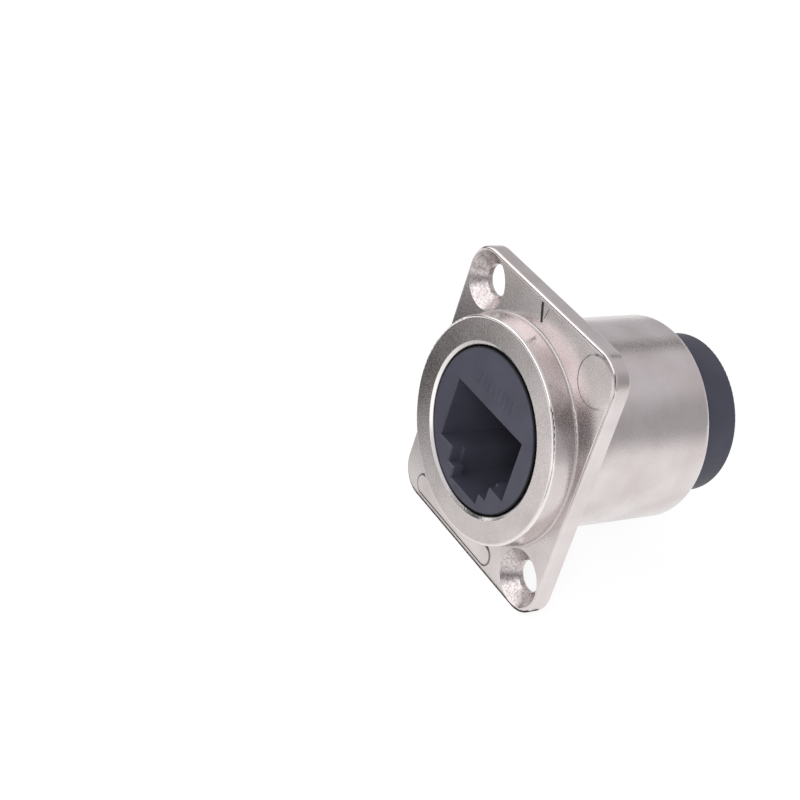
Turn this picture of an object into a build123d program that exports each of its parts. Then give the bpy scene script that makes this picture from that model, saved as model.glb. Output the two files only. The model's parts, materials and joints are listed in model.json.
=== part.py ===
from build123d import *
import os
from math import cos, hypot, radians, sin

# Feed-through coupler for a round panel cut-out, in millimetres.
# The origin is on the barrel's axis, at the flange's rear face, which seats on the panel.
# The front port faces -Y, the barrel runs towards +Y and Z is up.
# A depth is counted from a port's own face inwards.

# Flange and its two screws
screw_spacing_x = 19.0
screw_spacing_z = 24.0
screw_edge_margin = 3.5
screw_hole_radius = 1.7
countersink_radius = 3.1
countersink_depth = 1.4
flange_thickness = 2.0
flange_corner_radius = 3.25
flange_front_round = 0.4
flange_rear_round = 0.3
flange_blend = 0.25

# Low pads cast on the flange's front face, with a sloping edge all round
pad_rise = 0.1
pad_edge_width = 0.25
round_pad_radius = 2.75
round_pad_side_margin = 2.9
round_pad_top_margin = 3.1
long_pad_length = 15.05
long_pad_height = 2.5
long_pad_x = -2.68
long_pad_bottom_margin = 1.95

# Port opening, seen from its own side
port_width = 12.0
port_top = 2.47
port_height = 7.0
port_depth = 11.7
port_edge_chamfer = 0.18
latch_step_width = 7.2
latch_step_height = 1.71
latch_slot_width = 4.8
latch_slot_height = 3.01
latch_channel_width = 6.2
latch_catch_wall = 1.4

# Port bodies
nose_wall = 0.47
nose_edge_round = 0.15
shoulder_width = 0.78
front_face_recess = 0.1
rear_shoulder_recess = 0.3
seat_clearance = 0.05

# Front collar
collar_height = 2.7
collar_overhang = 1.1
collar_draft = 0.18
collar_rim_round = 0.3
collar_mouth_gap = 0.13
collar_mouth_bevel_width = 0.48
collar_mouth_bevel_depth = 0.28
collar_mouth_round = 0.15
collar_lip_depth = 1.8

# Rear barrel
barrel_length = 16.8
barrel_wall = 1.4
barrel_bore_clearance = 0.1
barrel_bore_chamfer = 0.2
barrel_rear_round = 0.7

# Ribs that grip the bore, and the key that keeps the ports upright
grip_rib_width = 0.8
grip_rib_angles = (30, 150, 210, 270, 330)
key_width = 1.5
key_height = 0.5
key_angle = 90

# Circuit board, clamped between the two port bodies by their rims
board_thickness = 1.0
board_rim_wall = 0.85
board_stand_off = 0.6
board_hole_radius = 0.3
peg_radius = 0.6
peg_grip = 1.0

# Spring contacts
contact_count = 8
contact_pitch = 1.016
contact_width = 0.4
contact_thickness = 0.3
contact_row_spacing = 1.7
contact_bend_depth = 4.2
contact_bend_drop = 0.57
contact_slope = 15.0
contact_end_gap = 0.93
contact_tail_stand_out = 0.45
contact_front_gap = 0.2
comb_side_gap = 0.12

# Contact carriers
carrier_plate_thickness = 0.7
carrier_roof_length = 4.7
carrier_floor_wall = 0.33
carrier_side_wall = 0.95
carrier_top_wall = 0.65
carrier_slot_clearance = 0.03
ceiling_thickness = 0.5
ceiling_bar_length = 2.2
plate_ledge = 0.4
stand_off_rib_width = 0.8
stand_off_rib_height = 5.0
stand_off_rib_inset = 0.6

# Solder joints
solder_base_radius = 0.45
solder_tip_radius = 0.32
solder_height = 0.35

# Port heights
port_bottom = port_top - port_height
port_middle_z = port_top - port_height / 2
latch_step_bottom = port_bottom - latch_step_height
latch_slot_bottom = port_bottom - latch_slot_height

# Radii, from the latch channel outwards
nose_radius = hypot(latch_channel_width / 2, latch_slot_bottom) + nose_wall
body_radius = nose_radius + shoulder_width
board_radius = body_radius - board_rim_wall - seat_clearance
barrel_bore_radius = body_radius + barrel_bore_clearance
barrel_radius = barrel_bore_radius + barrel_wall
collar_mouth_radius = nose_radius + collar_mouth_gap
collar_base_radius = barrel_radius + collar_overhang
collar_rim_radius = collar_base_radius - collar_draft

# Flange outline
flange_width = screw_spacing_x + 2 * screw_edge_margin
flange_height = screw_spacing_z + 2 * screw_edge_margin

# Depths from a port's face to the board, which lies half way between the two faces
plate_rear_depth = port_depth + carrier_plate_thickness
board_near_depth = plate_rear_depth + board_stand_off
body_depth = board_near_depth + board_thickness / 2
board_far_depth = board_near_depth + board_thickness

# Places along the barrel
rim_y = -flange_thickness - collar_height
lip_rear_y = rim_y + collar_lip_depth
front_face_y = rim_y + front_face_recess
rear_face_y = front_face_y + 2 * body_depth
rear_shoulder_y = barrel_length - rear_shoulder_recess
front_nose_length = lip_rear_y - front_face_y
rear_nose_length = rear_face_y - rear_shoulder_y

# Contacts and the carriers that hold them
row_x = [(place - (contact_count - 1) / 2) * contact_pitch for place in range(contact_count)]
carrier_bottom = port_top + ceiling_thickness + seat_clearance
contact_low_row = carrier_bottom + carrier_floor_wall + contact_thickness / 2
contact_high_row = contact_low_row + contact_row_spacing
contact_bend_z = port_top - contact_bend_drop
carrier_top = contact_high_row + contact_thickness / 2 + carrier_top_wall
carrier_width = row_x[-1] - row_x[0] + contact_width + 2 * carrier_side_wall
carrier_front_depth = port_depth - carrier_roof_length
plate_width = port_width + 2 * plate_ledge
plate_bottom = port_bottom - plate_ledge
peg_x = (plate_width / 2 + seat_clearance + board_radius) / 2
rib_root_radius = body_radius - board_rim_wall / 2


def prism(outline, start, end):
    """An outline drawn in X and Z as a solid between two places along Y."""
    return Pos(0, end, 0) * extrude(Plane.XZ * outline, amount=end - start)


def block(width, low_z, high_z, start, end, centre_x=0.0):
    """A rectangular block, given by its width, its heights and its run along Y."""
    outline = Pos(centre_x, (low_z + high_z) / 2) * Rectangle(width, high_z - low_z)
    return prism(outline, start, end)


def turned(corners):
    """A solid of revolution about the Y axis from corners given as (radius, y, rounding)."""
    profile = make_face(Polyline(*[(radius, y) for radius, y, rounding in corners], close=True))
    for radius, y, rounding in corners:
        if rounding > 0:
            corner = profile.vertices().sort_by_distance(Vector(radius, y, 0))[0]
            profile = fillet(corner, rounding)
    return revolve(profile, axis=Axis.Y)


def spoke(angle, width, outer_radius, start, end):
    """A bar along Y that stands out from the axis at an angle, with a round top."""
    bar = Pos(outer_radius / 2, 0) * Rectangle(outer_radius, width)
    ring = Circle(outer_radius) - Circle(rib_root_radius)
    return Rot(0, -angle, 0) * prism(bar & ring, start, end)


def rounded_plate(thickness):
    """The flange's outline at a given thickness, with its front and rear edges rounded."""
    outline = RectangleRounded(flange_width, flange_height, flange_corner_radius)
    plate = prism(outline, -thickness, 0)
    plate = fillet(plate.faces().sort_by(Axis.Y)[0].edges(), flange_front_round)
    return fillet(plate.faces().sort_by(Axis.Y)[-1].edges(), flange_rear_round)


def collar_and_barrel():
    """The turned form that carries the flange: collar, lip, bore and barrel in one."""
    blend_radius = collar_base_radius + 2 * flange_blend
    return turned([
        (collar_mouth_radius, rim_y + collar_mouth_bevel_depth, 0),
        (collar_mouth_radius + collar_mouth_bevel_width, rim_y, collar_mouth_round),
        (collar_rim_radius, rim_y, collar_rim_round),
        (collar_base_radius, -flange_thickness, flange_blend),
        (blend_radius, -flange_thickness, 0),
        (blend_radius, 0, 0),
        (barrel_radius, 0, flange_blend),
        (barrel_radius, barrel_length, barrel_rear_round),
        (barrel_bore_radius + barrel_bore_chamfer, barrel_length, 0),
        (barrel_bore_radius, barrel_length - barrel_bore_chamfer, 0),
        (barrel_bore_radius, lip_rear_y, 0),
        (collar_mouth_radius, lip_rear_y, 0),
    ])


def screw_hole():
    """A countersunk hole through the flange, opening to the front."""
    drill = prism(Circle(screw_hole_radius), -flange_thickness, 0)
    sink_y = countersink_depth - flange_thickness
    sink = turned([
        (0, -flange_thickness, 0),
        (countersink_radius, -flange_thickness, 0),
        (screw_hole_radius, sink_y, 0),
        (0, sink_y, 0),
    ])
    return drill + sink


def pad(outline):
    """A pad that rises from the flange's front face, with its edge sloping down all round."""
    raised = prism(outline, -flange_thickness - pad_rise, -flange_thickness / 2)
    front = raised.faces().sort_by(Axis.Y)[0]
    return chamfer(front.edges(), length=pad_edge_width, length2=pad_rise, reference=front)


def front_pads():
    """The round pad in the upper right corner and the long one below the collar, within the flange's edge."""
    round_x = flange_width / 2 - round_pad_side_margin
    round_z = flange_height / 2 - round_pad_top_margin
    long_z = long_pad_bottom_margin - flange_height / 2
    pads = Pos(round_x, 0, round_z) * pad(Circle(round_pad_radius))
    pads += Pos(long_pad_x, 0, long_z) * pad(SlotOverall(long_pad_length, long_pad_height))
    return pads & rounded_plate(flange_thickness + pad_rise)


def key_slot():
    """The slot in the bore that takes the port bodies' key."""
    top = barrel_bore_radius + key_height + seat_clearance
    return spoke(key_angle, key_width + 2 * seat_clearance, top, lip_rear_y, barrel_length)


def make_shell():
    """The one-piece nickel-plated shell."""
    shell = rounded_plate(flange_thickness) + front_pads()
    shell = shell - prism(Circle(collar_base_radius), -flange_thickness, 0)
    shell = shell + collar_and_barrel()
    for side in (-1, 1):
        shell = shell - Pos(side * screw_spacing_x / 2, 0, -side * screw_spacing_z / 2) * screw_hole()
    return shell - key_slot()


def port_space():
    """The space inside a port, from its face inwards: bay, latch steps and latch channel."""
    bay = block(port_width, port_bottom, port_top, 0, port_depth)
    latch_step = block(latch_step_width, latch_step_bottom, port_top, 0, latch_catch_wall)
    latch_slot = block(latch_slot_width, latch_slot_bottom, port_top, 0, latch_catch_wall)
    channel = block(latch_channel_width, latch_slot_bottom, port_top, latch_catch_wall, port_depth)
    return bay + latch_step + latch_slot + channel


def bend_radius(row_z):
    """The radius that brings a contact from its row round to the common slope."""
    return (row_z - contact_bend_z) / (1 + cos(radians(contact_slope)))


def carrier_room():
    """The room behind and above a port where the contact carrier slides in from the board side."""
    ledge_top = port_top + ceiling_thickness
    pocket_width = carrier_width + 2 * seat_clearance
    pocket_top = carrier_top + seat_clearance
    bend_front = contact_bend_depth - bend_radius(contact_high_row) * (1 - sin(radians(contact_slope)))
    pocket_front = bend_front - contact_thickness / 2 - contact_front_gap
    seat_width = plate_width + 2 * seat_clearance
    seat = block(seat_width, plate_bottom - seat_clearance, ledge_top, port_depth, board_near_depth)
    pocket = block(pocket_width, ledge_top, pocket_top, pocket_front, board_near_depth)
    comb_rear = port_depth - ceiling_bar_length
    comb_slot_width = contact_width + 2 * comb_side_gap
    for x in row_x:
        pocket += block(comb_slot_width, port_middle_z, carrier_bottom, pocket_front, comb_rear, x)
    return seat + pocket


def body_core(nose_length):
    """The turned outside of a port body, from the face to the parting plane."""
    return turned([
        (0, 0, 0),
        (nose_radius, 0, nose_edge_round),
        (nose_radius, nose_length, 0),
        (body_radius, nose_length, 0),
        (body_radius, body_depth, 0),
        (0, body_depth, 0),
    ])


def grip_features(nose_length):
    """The ribs that grip the bore and the key that stops the body turning."""
    features = spoke(key_angle, key_width, barrel_bore_radius + key_height, nose_length, body_depth)
    for angle in grip_rib_angles:
        features += spoke(angle, grip_rib_width, barrel_bore_radius, nose_length, body_depth)
    return features


def port_body(nose_length):
    """A port body with its face at y = 0 and its open back towards +Y."""
    board_recess = prism(Circle(board_radius + seat_clearance), board_near_depth, body_depth)
    body = body_core(nose_length) + grip_features(nose_length)
    body = body - port_space() - carrier_room() - board_recess
    mouth = body.faces().sort_by(Axis.Y)[0].inner_wires()[0]
    return chamfer(mouth.edges(), port_edge_chamfer)


def peg_pair(radius, start, end):
    """The two locating pegs beside the port, or the holes for them."""
    pair = Part()
    for side in (-1, 1):
        pair += Pos(side * peg_x, 0, 0) * prism(Circle(radius), start, end)
    return pair


def to_front(piece):
    """Move a piece drawn from the port's face to the front port."""
    return Pos(0, front_face_y, 0) * piece


def to_rear(piece):
    """Turn a piece drawn from the port's face round to the rear port, with the latch still below."""
    return Pos(0, rear_face_y, 0) * mirror(piece, about=Plane.XZ)


def make_front_body():
    """The front port body, with the pegs that pass through the board."""
    peg_end = board_far_depth + peg_grip
    return to_front(port_body(front_nose_length) + peg_pair(peg_radius, board_near_depth, peg_end))


def make_rear_body():
    """The rear port body, with the sockets for the pegs."""
    socket_depth = board_near_depth - peg_grip - seat_clearance
    sockets = peg_pair(peg_radius + seat_clearance, socket_depth, board_near_depth)
    return to_rear(port_body(rear_nose_length) - sockets)


def contact_row(place, rear):
    """The height of a contact's row: the rows alternate, and the rear port starts in the high one."""
    return contact_high_row if (place + rear) % 2 else contact_low_row


def contact_outline(row_z):
    """A contact's side view in Y and Z: tail, bend and the free end that slopes into the port."""
    slope = radians(contact_slope)
    radius = bend_radius(row_z)
    centre_y = contact_bend_depth + radius * sin(slope)
    centre_z = row_z - radius
    free_run = port_depth - contact_end_gap - contact_bend_depth
    tail = (board_far_depth + contact_tail_stand_out, row_z)
    bend_start = (centre_y, row_z)
    bend_middle = (centre_y - radius * cos(slope / 2), centre_z + radius * sin(slope / 2))
    bend_end = (contact_bend_depth, contact_bend_z)
    free_end = (contact_bend_depth + free_run, contact_bend_z - free_run * sin(slope) / cos(slope))
    bend = ThreePointArc(bend_start, bend_middle, bend_end)
    path = Line(tail, bend_start) + bend + Line(bend_end, free_end)
    return trace(path, contact_thickness)


def contact(place, rear):
    """One spring contact, drawn from the port's face."""
    outline = Plane.YZ * contact_outline(contact_row(place, rear))
    return Pos(row_x[place], 0, 0) * extrude(outline, amount=contact_width / 2, both=True)


def tail_hole(place, rear, clearance, start, end):
    """The rectangular way of a contact's tail through a carrier or a solder joint."""
    row_z = contact_row(place, rear)
    half_height = contact_thickness / 2 + clearance
    width = contact_width + 2 * clearance
    return block(width, row_z - half_height, row_z + half_height, start, end, row_x[place])


def contact_carrier(rear):
    """The insert that closes the back of a port and holds its contacts."""
    roof = block(carrier_width, carrier_bottom, carrier_top, carrier_front_depth, plate_rear_depth)
    plate = block(plate_width, plate_bottom, port_top, port_depth, plate_rear_depth)
    neck = block(carrier_width, port_top, carrier_bottom, port_depth, plate_rear_depth)
    carrier = roof + plate + neck
    rib_x = (plate_width - stand_off_rib_width) / 2 - stand_off_rib_inset
    rib_low = port_middle_z - stand_off_rib_height / 2
    rib_high = port_middle_z + stand_off_rib_height / 2
    for side in (-1, 1):
        x = side * rib_x
        carrier += block(stand_off_rib_width, rib_low, rib_high, plate_rear_depth, board_near_depth, x)
    for place in range(contact_count):
        carrier -= tail_hole(place, rear, carrier_slot_clearance, carrier_front_depth, plate_rear_depth)
    return carrier


def solder_joints(rear):
    """The joints on the board's far face, one round each tail of a port's contacts."""
    joints = Part()
    tip_depth = board_far_depth + solder_height
    for place in range(contact_count):
        bead = turned([
            (0, board_far_depth, 0),
            (solder_base_radius, board_far_depth, 0),
            (solder_tip_radius, tip_depth, 0),
            (0, tip_depth, 0),
        ])
        bead = Pos(row_x[place], 0, contact_row(place, rear)) * bead
        joints += bead - tail_hole(place, rear, 0, board_far_depth, tip_depth)
    return joints


def make_board():
    """The round board, with its plated holes and the two peg holes."""
    board = prism(Circle(board_radius), board_near_depth, board_far_depth)
    hole = prism(Circle(board_hole_radius), board_near_depth, board_far_depth)
    for row_z in (contact_low_row, contact_high_row):
        for x in row_x:
            board -= Pos(x, 0, row_z) * hole
    return to_front(board - peg_pair(peg_radius + seat_clearance, board_near_depth, board_far_depth))


def write(name, piece):
    """Write one piece as its own node."""
    export_step(piece, "parts/" + name + ".step")


os.makedirs("parts", exist_ok=True)
write("shell", make_shell())
write("front_port_body", make_front_body())
write("rear_port_body", make_rear_body())
write("circuit_board", make_board())
write("front_contact_carrier", to_front(contact_carrier(rear=False)))
write("rear_contact_carrier", to_rear(contact_carrier(rear=True)))
write("front_solder_joints", to_front(solder_joints(rear=False)))
write("rear_solder_joints", to_rear(solder_joints(rear=True)))

# Contacts with the same number face each other across the board.
for place in range(contact_count):
    number = str(place + 1)
    write("front_contact_" + number, to_front(contact(place, rear=False)))
    write("rear_contact_" + number, to_rear(contact(place, rear=True)))
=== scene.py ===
import json
from math import cos, pi, radians, sin

import bpy
from mathutils import Matrix, Vector

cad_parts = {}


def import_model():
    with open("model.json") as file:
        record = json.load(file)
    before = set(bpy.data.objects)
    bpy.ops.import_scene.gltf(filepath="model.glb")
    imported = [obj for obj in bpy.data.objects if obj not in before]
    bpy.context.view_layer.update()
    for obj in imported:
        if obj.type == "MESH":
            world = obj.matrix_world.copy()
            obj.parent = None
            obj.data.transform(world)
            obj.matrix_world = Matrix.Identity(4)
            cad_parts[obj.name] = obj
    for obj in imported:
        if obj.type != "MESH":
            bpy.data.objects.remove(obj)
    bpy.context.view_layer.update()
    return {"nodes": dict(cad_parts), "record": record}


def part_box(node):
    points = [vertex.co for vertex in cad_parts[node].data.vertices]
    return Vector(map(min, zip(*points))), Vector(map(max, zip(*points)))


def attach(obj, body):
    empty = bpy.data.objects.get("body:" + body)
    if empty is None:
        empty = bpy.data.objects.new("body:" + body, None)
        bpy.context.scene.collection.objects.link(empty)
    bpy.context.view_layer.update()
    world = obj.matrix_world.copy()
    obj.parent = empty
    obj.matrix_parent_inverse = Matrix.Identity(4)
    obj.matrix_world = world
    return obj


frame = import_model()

# Panel-mount feed-through coupler: studio, finishes and the fine marks on its faces.
# The front port faces -Y, the barrel runs towards +Y and Z is up. Blender works in metres;
# lengths in the settings are in mm, except where a note says metres.
mm = 0.001
nodes = frame["nodes"]


# Camera at the photograph's angle
cameraSettings = {
    "place": (118.25, -112.745, 92.07),
    "azimuth": 50.73,
    "elevation": 29.754,
    "roll": 17.281,
    "lens": 81.747,
    "sensor": 36,
    "nearest": 5,
    "farthest": 20000,
}


# Turns a thing so that its own X, Y and Z lie along three directions
def turnTo(thing, right, up, back):
    thing.rotation_mode = "QUATERNION"
    thing.rotation_quaternion = Matrix((right, up, back)).transposed().to_quaternion()


def makeCamera(settings):
    turn, tilt, roll = [radians(settings[name]) for name in ("azimuth", "elevation", "roll")]
    back = Vector((sin(turn) * cos(tilt), -cos(turn) * cos(tilt), sin(tilt)))
    level = Vector((cos(turn), sin(turn), 0))
    steep = back.cross(level)
    right = level * cos(roll) + steep * sin(roll)
    up = steep * cos(roll) - level * sin(roll)
    bpy.ops.object.camera_add(location=Vector(settings["place"]) * mm)
    camera = bpy.context.object
    camera.name = "photoCamera"
    turnTo(camera, right, up, back)
    camera.data.sensor_width = settings["sensor"]
    camera.data.lens = settings["lens"]
    camera.data.clip_start = settings["nearest"] * mm
    camera.data.clip_end = settings["farthest"] * mm
    bpy.context.scene.camera = camera


makeCamera(cameraSettings)
print("camera in place")


# Helpers for shader graphs. An input is either a plain value or another node's output.
def setInputs(tree, node, inputs):
    for name, value in inputs.items():
        if isinstance(value, bpy.types.NodeSocket):
            tree.links.new(value, node.inputs[name])
        else:
            node.inputs[name].default_value = value


def addNode(tree, kind, inputs, **options):
    node = tree.nodes.new("ShaderNode" + kind)
    for name, value in options.items():
        setattr(node, name, value)
    setInputs(tree, node, inputs)
    return node


def newMaterial(name):
    material = bpy.data.materials.new(name)
    material.use_nodes = True
    tree = material.node_tree
    return material, tree, tree.nodes["Principled BSDF"]


def objectPlace(tree, stretch=(1, 1, 1)):
    place = addNode(tree, "TexCoord", {}).outputs["Object"]
    return addNode(tree, "Mapping", {"Vector": place, "Scale": stretch}).outputs["Vector"]


def noise(tree, place, size, detail, rough=0.5):
    inputs = {"Vector": place, "Scale": 1 / (size * mm), "Detail": detail, "Roughness": rough}
    return addNode(tree, "TexNoise", inputs).outputs["Fac"]


def combine(tree, operation, first, second):
    return addNode(tree, "Math", {0: first, 1: second}, operation=operation).outputs[0]


def product(tree, first, second):
    return combine(tree, "MULTIPLY", first, second)


# Stretches one range of a value to another, and holds it at the ends
def spread(tree, value, source, target=(0, 1)):
    names = ("From Min", "From Max", "To Min", "To Max")
    limits = dict(zip(names, (*source, *target)))
    return addNode(tree, "MapRange", {"Value": value, **limits}).outputs["Result"]


usualNoise = (0.3, 0.7)  # where most of a noise lies


# 0 before the first edge and 1 past the second
def past(tree, value, edges):
    return spread(tree, value, [edge * mm for edge in edges])


# 1 before the first edge and 0 past the second
def before(tree, value, edges):
    return spread(tree, value, [edge * mm for edge in edges], (1, 0))


# 1 between the two middle edges, fading to 0 at the outer ones
def band(tree, value, edges):
    return product(tree, past(tree, value, edges[:2]), before(tree, value, edges[2:]))


def alongAxis(tree, axis):
    return addNode(tree, "SeparateXYZ", {0: objectPlace(tree)}).outputs[axis]


# Distance from the nearest of some lines that run along Y
def lineDistance(tree, lines):
    flat = objectPlace(tree, (1, 0, 1))
    nearest = None
    for line in lines:
        inputs = {0: flat, 1: Vector(line) * mm}
        away = addNode(tree, "VectorMath", inputs, operation="DISTANCE").outputs["Value"]
        nearest = away if nearest is None else combine(tree, "MINIMUM", nearest, away)
    return nearest


def mixValues(tree, factor, under, over):
    inputs = {"Factor": factor, "A": under, "B": over}
    return addNode(tree, "Mix", inputs).outputs["Result"]


# The lower colour is either a plain one or another node's output
def mixColors(tree, factor, under, over):
    if not isinstance(under, bpy.types.NodeSocket):
        under = (*under, 1)
    inputs = {"Factor": factor, "A": under, "B": (*over, 1)}
    return addNode(tree, "Mix", inputs, data_type="RGBA").outputs["Result"]


def bump(tree, height, depth, below=None):
    inputs = {"Height": height, "Strength": 1.0, "Distance": depth * mm}
    if below is not None:
        inputs["Normal"] = below
    return addNode(tree, "Bump", inputs).outputs["Normal"]


# Ends a tree in a mix of two shaders
def mixToSurface(tree, ending, factor, first, second):
    inputs = {0: factor, 1: first.outputs[0], 2: second.outputs[0]}
    mix = addNode(tree, "MixShader", inputs)
    tree.links.new(mix.outputs[0], tree.nodes[ending].inputs["Surface"])


# Satin nickel over a zinc casting: warm grey, with a fine tumbled grain and turning lines.
# A zone lies in a ring or inside a circle round its lines, and between depths along Y. The four
# edges of a ring or depth are where it starts, is full, begins to fade and ends.
barrelLine = (0, 0, 0)
nickelSettings = {
    "light": (0.745, 0.69, 0.685),
    "dark": (0.64, 0.58, 0.57),
    "patches": {"size": 5.0, "detail": 3.0},
    "patchRange": (0.35, 0.65),
    "rough": (0.2, 0.3),
    "grain": {"size": 0.2, "detail": 3.0, "rough": 0.6},
    "grainDepth": 0.0075,
    "pitting": {"size": 0.5, "detail": 2.0},
    "pittingDepth": 0.004,
    "turning": {"size": 0.35, "detail": 3.0},
    "turningStretch": (0.06, 1.0, 0.06),
    "turningDepth": 0.0012,
    "lines": {"barrel": [barrelLine], "screws": [(-9.5, 0, 12), (9.5, 0, -12)]},
    "zones": {
        # painted dark reflection along the low pads' edges, apart from the right side of the
        # round pad
        "padEdgeDarkReflection": {
            "around": "barrel",
            "ring": (12.5, 12.6, 30, 31),
            "depth": (-2.099, -2.088, -2.012, -2.004),
            "side": (8.2, 8.6),
            "color": (0.24, 0.22, 0.215),
        },
        # rougher plating in the corner where the collar meets the flange, its colour darkened as
        # painted shade
        "collarFootShade": {
            "around": "barrel",
            "ring": (11.84, 11.9, 12.24, 12.34),
            "depth": (-2.34, -2.28, -1.9, -1.8),
            "color": (0.6, 0.555, 0.55),
            "rough": 0.36,
        },
        # outer rounds, smoother than the faces
        "flangeRound": {
            "around": "barrel",
            "ring": (12.3, 12.35, 30, 31),
            "depth": (-2.0, -1.98, -1.62, -1.58),
            "rough": 0.11,
        },
        # the collar's rim round is also painted lighter, a painted highlight
        "collarRoundHighlight": {
            "around": "barrel",
            "ring": (11.48, 11.53, 11.86, 11.9),
            "depth": (-4.72, -4.7, -4.42, -4.38),
            "color": (0.84, 0.79, 0.78),
            "rough": 0.11,
        },
        # cones of the screw holes, darker in mottled patches
        "sinks": {
            "around": "screws",
            "inside": (3.2, 3.3),
            "depth": (-2.0, -1.97, -0.2, -0.1),
            "mottling": {"size": 0.26, "detail": 4.0, "rough": 0.65},
            "mottlingRange": (0.42, 0.64),
            "color": (0.4, 0.365, 0.36),
            "rough": 0.26,
        },
        # turned bevel round the mouth, smoother and painted lighter as a painted highlight, and
        # painted shadow in the gap inside it
        "mouthBevelHighlight": {
            "around": "barrel",
            "inside": (9.24, 9.3),
            "color": (0.95, 0.91, 0.9),
            "rough": 0.16,
        },
        "mouthGapShadow": {
            "around": "barrel",
            "inside": (8.84, 8.92),
            "color": (0.03, 0.028, 0.028),
        },
    },
}


# 1 in a zone of the casting and 0 outside it
def zoneMask(tree, zone, distance, depth):
    if "ring" in zone:
        mask = band(tree, distance, zone["ring"])
    else:
        mask = before(tree, distance, zone["inside"])
    if "depth" in zone:
        mask = product(tree, mask, band(tree, depth, zone["depth"]))
    if "side" in zone:
        mask = product(tree, mask, before(tree, alongAxis(tree, "X"), zone["side"]))
    return mask


def makeNickel(settings):
    material, tree, shader = newMaterial("nickelPlating")
    place = objectPlace(tree)
    depth = alongAxis(tree, "Y")
    distances = {name: lineDistance(tree, lines) for name, lines in settings["lines"].items()}
    patches = spread(tree, noise(tree, place, **settings["patches"]), settings["patchRange"])
    color = mixColors(tree, patches, settings["light"], settings["dark"])
    grain = noise(tree, place, **settings["grain"])
    rough = spread(tree, grain, usualNoise, settings["rough"])
    for zone in settings["zones"].values():
        mask = zoneMask(tree, zone, distances[zone["around"]], depth)
        if "rough" in zone:
            rough = mixValues(tree, mask, rough, zone["rough"])
        if "mottling" in zone:
            mottling = spread(tree, noise(tree, place, **zone["mottling"]), zone["mottlingRange"])
            mask = product(tree, mask, mottling)
        if "color" in zone:
            color = mixColors(tree, mask, color, zone["color"])
    pitting = noise(tree, place, **settings["pitting"])
    turning = noise(tree, objectPlace(tree, settings["turningStretch"]), **settings["turning"])
    normal = bump(tree, pitting, settings["pittingDepth"])
    normal = bump(tree, turning, settings["turningDepth"], normal)
    normal = bump(tree, grain, settings["grainDepth"], normal)
    look = {"Base Color": color, "Metallic": 1.0, "Roughness": rough, "Normal": normal}
    setInputs(tree, shader, look)
    return material


# Moulded plastic, for the port bodies and the carriers behind them. The front port's face is
# painted darker towards its rim, a painted shade for the shadowed gap round it.
plasticSettings = {
    "flow": {"size": 3.5, "detail": 2.0},
    "flowDepth": 0.01,
    "grainDepth": 0.0025,
    "ior": 1.58,
    "gloss": 0.25,
    "kinds": {
        "blackPlastic": {
            "dark": (0.046, 0.046, 0.066),
            "light": (0.056, 0.056, 0.079),
            "rough": (0.44, 0.56),
            "grain": {"size": 0.12, "detail": 2.0},
            # painted shade at the rim of the port's face
            "rim": {"radius": (8.42, 8.53), "front": (-4.2, -4.3), "color": (0.008, 0.008, 0.01)},
        },
        "carrierPlastic": {
            "dark": (0.03, 0.032, 0.044),
            "light": (0.038, 0.04, 0.054),
            "rough": (0.48, 0.6),
            "grain": {"size": 0.2, "detail": 2.0},
        },
    },
}


# Paints shade on the front port's face near its rim
def shadeRim(tree, color, rim):
    nearRim = past(tree, lineDistance(tree, [barrelLine]), rim["radius"])
    onFront = past(tree, alongAxis(tree, "Y"), rim["front"])
    return mixColors(tree, product(tree, nearRim, onFront), color, rim["color"])


def makePlastic(name, settings):
    kind = settings["kinds"][name]
    material, tree, shader = newMaterial(name)
    place = objectPlace(tree)
    flow = noise(tree, place, **settings["flow"])
    grain = noise(tree, place, **kind["grain"])
    color = mixColors(tree, spread(tree, flow, usualNoise), kind["dark"], kind["light"])
    if "rim" in kind:
        color = shadeRim(tree, color, kind["rim"])
    normal = bump(tree, grain, settings["grainDepth"])
    setInputs(tree, shader, {
        "Base Color": color,
        "Roughness": spread(tree, grain, usualNoise, kind["rough"]),
        "IOR": settings["ior"],
        "Specular IOR Level": settings["gloss"],
        "Normal": bump(tree, flow, settings["flowDepth"], normal),
    })
    return material


# Coated board: green lacquer over a faint glass weave
boardSettings = {
    "green": (0.02, 0.13, 0.05),
    "weave": (0.035, 0.19, 0.08),
    "weaveSize": 0.5,
    "cloud": {"size": 0.8, "detail": 2.0},
    "cloudDepth": 0.006,
    "rough": 0.28,
}


def makeBoard(settings):
    material, tree, shader = newMaterial("boardLaminate")
    place = objectPlace(tree)
    squares = {"Vector": place, "Scale": 1 / (settings["weaveSize"] * mm)}
    weave = addNode(tree, "TexChecker", squares).outputs["Fac"]
    cloud = noise(tree, place, **settings["cloud"])
    share = product(tree, weave, cloud)
    setInputs(tree, shader, {
        "Base Color": mixColors(tree, share, settings["green"], settings["weave"]),
        "Roughness": settings["rough"],
        "Normal": bump(tree, cloud, settings["cloudDepth"]),
    })
    return material


# Bright metals inside: gold-plated contacts and their solder
metalSettings = {
    "contactGold": {
        "dark": (0.76, 0.53, 0.19),
        "light": (0.88, 0.68, 0.31),
        "rough": (0.2, 0.32),
        "cloud": {"size": 0.3, "detail": 3.0},
        "cloudDepth": 0.004,
    },
    "solder": {
        "dark": (0.56, 0.56, 0.58),
        "light": (0.74, 0.74, 0.76),
        "rough": (0.16, 0.3),
        "cloud": {"size": 0.4, "detail": 3.0},
        "cloudDepth": 0.004,
    },
}


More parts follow.
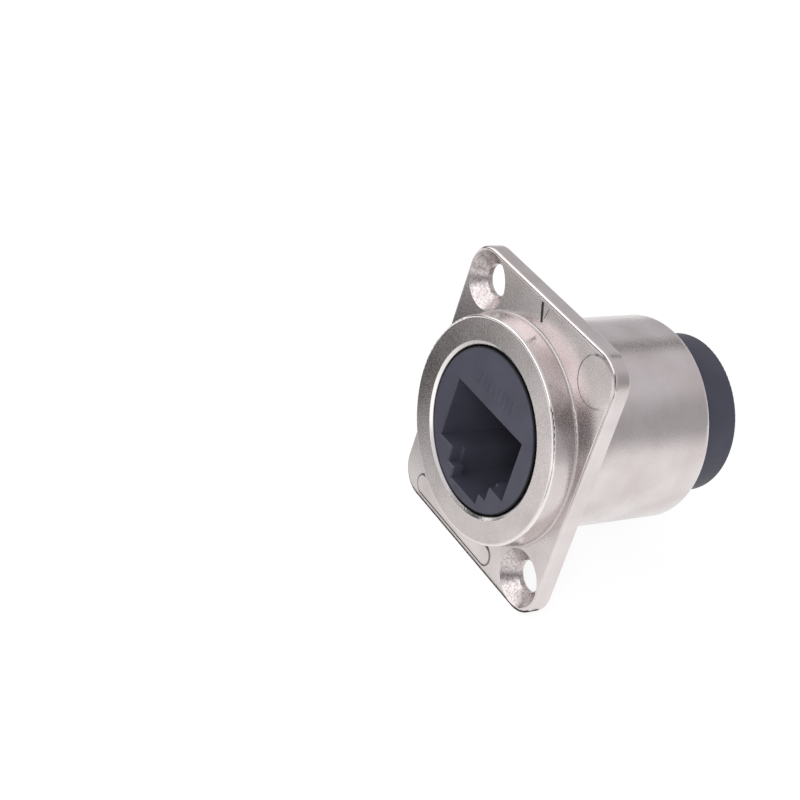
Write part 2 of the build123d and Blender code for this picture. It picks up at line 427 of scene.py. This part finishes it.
# Clouded metal. Its roughness is either one value or a range that follows the clouds.
def makeMetal(name, settings):
    material, tree, shader = newMaterial(name)
    cloud = noise(tree, objectPlace(tree), **settings["cloud"])
    tone = spread(tree, cloud, usualNoise)
    rough = settings["rough"]
    if isinstance(rough, tuple):
        rough = spread(tree, cloud, usualNoise, rough)
    setInputs(tree, shader, {
        "Base Color": mixColors(tree, tone, settings["dark"], settings["light"]),
        "Metallic": 1.0,
        "Roughness": rough,
        "Normal": bump(tree, cloud, settings["cloudDepth"]),
    })
    return material


finishes = {
    "nickel_plating": makeNickel(nickelSettings),
    "black_plastic": makePlastic("blackPlastic", plasticSettings),
    "carrier_plastic": makePlastic("carrierPlastic", plasticSettings),
    "board_laminate": makeBoard(boardSettings),
    "contact_gold": makeMetal("contactGold", metalSettings["contactGold"]),
    "solder": makeMetal("solder", metalSettings["solder"]),
}


def finishNode(name, finish):
    mesh = nodes[name].data
    mesh.materials.clear()
    mesh.materials.append(finish)


for subpart in frame["record"]["subparts"]:
    finishNode(subpart["node"], finishes[subpart["material_slot"]])
print("finishes on", len(nodes), "nodes")


# Helpers for new pieces
def deselectAll():
    bpy.ops.object.select_all(action="DESELECT")


def settle(piece):
    deselectAll()
    piece.select_set(True)
    bpy.context.view_layer.objects.active = piece
    bpy.ops.object.transform_apply(location=True, rotation=True, scale=True)


def rename(piece, name):
    piece.name = name
    piece.data.name = name


def roundEdges(piece, width, steps=2):
    deselectAll()
    bpy.context.view_layer.objects.active = piece
    bevel = piece.modifiers.new("edges", "BEVEL")
    bevel.width = width * mm
    bevel.segments = steps
    bevel.limit_method = "ANGLE"
    bpy.ops.object.modifier_apply(modifier=bevel.name)


def joinPieces(parts, name):
    deselectAll()
    for part in parts:
        part.select_set(True)
    bpy.context.view_layer.objects.active = parts[0]
    bpy.ops.object.join()
    joined = bpy.context.object
    rename(joined, name)
    deselectAll()
    return joined


def copyPiece(piece):
    twin = piece.copy()
    twin.data = piece.data.copy()
    bpy.context.collection.objects.link(twin)
    return twin


def makeBar(length, width, rise, roundness):
    deselectAll()
    bpy.ops.mesh.primitive_cube_add(size=1)
    bar = bpy.context.object
    bar.scale = (width * mm, rise * mm, length * mm)
    settle(bar)
    roundEdges(bar, roundness)
    bar.data.shade_smooth()
    return bar


# Eight raised ticks above the front port, one for each contact
tickSettings = {
    "count": 8,
    "pitch": 0.82,
    "width": 0.26,
    "low": 4.0,
    "high": 5.5,
    "proud": 0.05,
    "sunk": 0.03,
    "round": 0.035,
}


def makeTicks(settings):
    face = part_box("front_port_body")[0][1] / mm
    front = face - settings["proud"]
    back = face + settings["sunk"]
    low, high = settings["low"], settings["high"]
    bar = makeBar(high - low, settings["width"], back - front, settings["round"])
    ticks = [copyPiece(bar) for _ in range(settings["count"] - 1)] + [bar]
    middle = (settings["count"] - 1) / 2
    for number, tick in enumerate(ticks):
        x = (number - middle) * settings["pitch"]
        tick.location = (x * mm, (front + back) / 2 * mm, (low + high) / 2 * mm)
        settle(tick)
    return joinPieces(ticks, "portTicks")


ticks = makeTicks(tickSettings)
ticks.data.materials.append(finishes["black_plastic"])
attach(ticks, "root")
print("ticks on the port's face")


# Index mark near the flange's upper edge: a thick arm painted dark as the shade in an engraved
# groove, and a faint plated one beside it
markSettings = {
    "face": -2.0,
    "proud": 0.02,
    "sunk": 0.03,
    "round": 0.008,
    "arms": {
        "indexMark": {"top": (-0.5, 14.9), "foot": (0.27, 13.0), "width": 0.34},
        "indexMarkEdge": {"top": (0.72, 14.8), "foot": (0.5, 13.6), "width": 0.12},
    },
    # painted shade standing in for the groove's shadow
    "grooveShadeNickel": {
        "dark": (0.035, 0.03, 0.03),
        "light": (0.08, 0.072, 0.07),
        "rough": 0.5,
        "cloud": {"size": 0.25, "detail": 3.0},
        "cloudDepth": 0.004,
    },
}


def makeArm(name, arm, settings):
    top = Vector((arm["top"][0], settings["face"], arm["top"][1]))
    foot = Vector((arm["foot"][0], settings["face"], arm["foot"][1]))
    depth = Vector((0, (settings["sunk"] - settings["proud"]) / 2, 0))
    run = top - foot
    rise = settings["proud"] + settings["sunk"]
    bar = makeBar(run.length, arm["width"], rise, settings["round"])
    bar.rotation_mode = "QUATERNION"
    bar.rotation_quaternion = Vector((0, 0, 1)).rotation_difference(run.normalized())
    bar.location = ((top + foot) / 2 + depth) * mm
    settle(bar)
    rename(bar, name)
    return bar


armFinishes = {
    "indexMark": makeMetal("grooveShadeNickel", markSettings["grooveShadeNickel"]),
    "indexMarkEdge": finishes["nickel_plating"],
}
for armName, arm in markSettings["arms"].items():
    bar = makeArm(armName, arm, markSettings)
    bar.data.materials.append(armFinishes[armName])
    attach(bar, "root")
print("index mark on the flange")


# Pale floor just under the flange's lower edge, and an even grey sky. Each zone of the sky has a
# direction and the angles from it, in degrees, where it is full and where it ends.
studioSettings = {
    "floorHeight": -15.52,
    "floorSide": 5,  # metres
    "floorColor": (0.86, 0.86, 0.86),
    "floorGlow": 0.75,
    "floorWhite": 1.12,
    "sky": (0.66, 0.65, 0.67),
    "skyZones": [
        {"toward": (-0.68, 0.66, 0.25), "angles": (12, 26), "color": (0.58, 0.575, 0.595)},
        {"toward": (0.68, 0.66, 0.32), "angles": (10, 28), "color": (0.46, 0.455, 0.47)},
        {"toward": (0.75, 0.66, 0.02), "angles": (1, 9), "color": (0.85, 0.84, 0.84)},
        {"toward": (-0.4, 0.66, 0.64), "angles": (1, 8), "color": (0.08, 0.08, 0.08)},
    ],
}
white = (1, 1, 1, 1)


def eitherRay(tree, names):
    path = addNode(tree, "LightPath", {})
    result = path.outputs[names[0]]
    for name in names[1:]:
        result = combine(tree, "MAXIMUM", result, path.outputs[name])
    return result


def makeFloor(settings):
    deselectAll()
    place = (0, 0, settings["floorHeight"] * mm)
    bpy.ops.mesh.primitive_plane_add(size=settings["floorSide"], location=place)
    floor = bpy.context.object
    floor.name = "floor"
    material, tree, shader = newMaterial("paleFloor")
    tree.nodes.remove(shader)
    matte = addNode(tree, "BsdfDiffuse", {"Color": (*settings["floorColor"], 1)})
    glow = addNode(tree, "Emission", {"Color": white, "Strength": settings["floorWhite"]})
    seen = eitherRay(tree, ("Is Camera Ray", "Is Glossy Ray", "Is Transmission Ray"))
    share = product(tree, seen, settings["floorGlow"])
    mixToSurface(tree, "Material Output", share, matte, glow)
    floor.data.materials.append(material)


def makeSky(settings):
    world = bpy.data.worlds.new("studio")
    bpy.context.scene.world = world
    world.use_nodes = True
    tree = world.node_tree
    direction = addNode(tree, "TexCoord", {}).outputs["Generated"]
    color = settings["sky"]
    for zone in settings["skyZones"]:
        inputs = {0: direction, 1: Vector(zone["toward"]).normalized()}
        nearness = addNode(tree, "VectorMath", inputs, operation="DOT_PRODUCT").outputs["Value"]
        inner, outer = [cos(radians(angle)) for angle in zone["angles"]]
        color = mixColors(tree, spread(tree, nearness, (outer, inner)), color, zone["color"])
    soft = tree.nodes["Background"]
    setInputs(tree, soft, {"Color": color})
    plain = addNode(tree, "Background", {"Color": white, "Strength": 1.0})
    mixToSurface(tree, "World Output", eitherRay(tree, ("Is Camera Ray",)), soft, plain)


# Soft boxes, each aimed at the object: place and size in metres, and brightness of the face
lampSettings = {
    "keyBox": {
        "place": (-0.024, -0.27, 0.22), "size": (0.34, 0.2),
        "brightness": 1.05, "shows": True,
    },
    "sideBox": {
        "place": (-0.26, -0.16, 0.17), "size": (0.2, 0.26),
        "brightness": 1.1, "shows": True,
    },
    "fillBox": {
        "place": (0.189, -0.18, 0.147), "size": (0.12, 0.12),
        "brightness": 9.8, "shows": False,
    },
}


def makeLamp(name, settings):
    place = Vector(settings["place"])
    bpy.ops.object.light_add(type="AREA", location=place)
    lamp = bpy.context.object
    lamp.name = name
    lamp.rotation_mode = "QUATERNION"
    lamp.rotation_quaternion = (-place).to_track_quat("-Z", "Y")
    width, height = settings["size"]
    lamp.data.shape = "RECTANGLE"
    lamp.data.size = width
    lamp.data.size_y = height
    lamp.data.energy = settings["brightness"] * pi * width * height
    lamp.visible_glossy = settings["shows"]


makeFloor(studioSettings)
makeSky(studioSettings)
for lampName, values in lampSettings.items():
    makeLamp(lampName, values)


# Soft dark flags that only reflections see: oval, densest in the middle and fading to the rim.
# Each faces one way and has its wide half size along another. With no fade it is a plain strip.
clothColor = (0.03, 0.03, 0.03)
flagSettings = {
    "sideFlag": {
        "place": (-38.8, -26, -15.4), "faces": (0, 0, 1), "along": (0.773, 0.635, 0),
        "wide": 40, "high": 19, "density": 0.92, "fade": 0.7,
    },
    "leftFlag": {
        "place": (-48, -3, -15.41), "faces": (0, 0, 1), "along": (1, 0, 0),
        "wide": 24, "high": 17, "density": 0.95, "fade": 0.5,
    },
    "leftHorizonFlag": {
        "place": (-260, -5, 12), "faces": (1, 0, 0), "along": (0, 1, 0),
        "wide": 100, "high": 44, "density": 0.95, "fade": 0.5,
    },
    "frontFlag": {
        "place": (-46, -48, -15.44), "faces": (0, 0, 1), "along": (1, 0, 0),
        "wide": 38, "high": 38, "density": 0.3, "fade": 0.6,
    },
    "nearFlag": {
        "place": (-5, -16, -15.43), "faces": (0, 0, 1), "along": (1, 0, 0),
        "wide": 20, "high": 16, "density": 0.22, "fade": 0.5,
    },
    # painted shadow: a dark sheet under the flange's lower edge, where its contact shadow falls,
    # seen only in reflections
    "footShadowFlag": {
        "place": (-9, -0.95, -15.42), "faces": (0, 0, 1), "along": (1, 0, 0),
        "wide": 21.5, "high": 1.45, "density": 0.95, "fade": 0,
    },
    "highScrewFlag": {
        "place": (23, -38, -15.38), "faces": (0, 0, 1), "along": (1, 0, 0),
        "wide": 20, "high": 20, "density": 0.5, "fade": 0.6,
    },
    "rightFloorFlag": {
        "place": (100, -75, -15.4), "faces": (0, 0, 1), "along": (0.8, -0.6, 0),
        "wide": 85, "high": 34, "density": 0.8, "fade": 0.6,
    },
    "horizonFlag": {
        "place": (-170, -210, 2), "faces": (0.63, 0.77, 0), "along": (0.77, -0.63, 0),
        "wide": 170, "high": 68, "density": 1.0, "fade": 0.4,
    },
    "rightHorizonFlag": {
        "place": (204, -210, 55), "faces": (-0.69, 0.71, -0.18), "along": (0.72, 0.7, 0),
        "wide": 100, "high": 70, "density": 0.78, "fade": 0.6,
    },
    "cameraFlag": {
        "place": (124, -118, 97), "faces": (-0.631, 0.601, -0.491), "along": (-0.61, 0, 0.79),
        "wide": 62, "high": 44, "density": 1.0, "fade": 0.3,
    },
}


# 1 in the middle of a flag, falling to 0 at an oval that touches its sides
def ovalFade(tree):
    across = addNode(tree, "TexCoord", {}).outputs["UV"]
    centring = {"Vector": across, "Location": (0.5, 0.5, 0), "Scale": (0.5, 0.5, 1)}
    centred = addNode(tree, "Mapping", centring, vector_type="TEXTURE").outputs["Vector"]
    return addNode(tree, "TexGradient", {0: centred}, gradient_type="SPHERICAL").outputs["Fac"]


def makeFlagCloth(name, settings):
    material, tree, shader = newMaterial(name + "Cloth")
    tree.nodes.remove(shader)
    density = settings["density"]
    if settings["fade"] > 0:
        density = spread(tree, ovalFade(tree), (0, settings["fade"]), (0, density))
    clear = addNode(tree, "BsdfTransparent", {})
    cloth = addNode(tree, "BsdfDiffuse", {"Color": (*clothColor, 1)})
    mixToSurface(tree, "Material Output", density, clear, cloth)
    return material


def makeFlag(name, settings):
    deselectAll()
    bpy.ops.mesh.primitive_plane_add(size=2)
    flag = bpy.context.object
    flag.name = name
    flag.location = Vector(settings["place"]) * mm
    normal = Vector(settings["faces"]).normalized()
    across = normal.cross(Vector(settings["along"])).normalized()
    turnTo(flag, across.cross(normal), across, normal)
    flag.scale = (settings["wide"] * mm, settings["high"] * mm, 1)
    settle(flag)
    flag.visible_camera = False
    flag.visible_shadow = False
    flag.visible_diffuse = False
    flag.data.materials.append(makeFlagCloth(name, settings))


for flagName, values in flagSettings.items():
    makeFlag(flagName, values)
bpy.context.scene.view_settings.view_transform = "Standard"
print("studio ready")
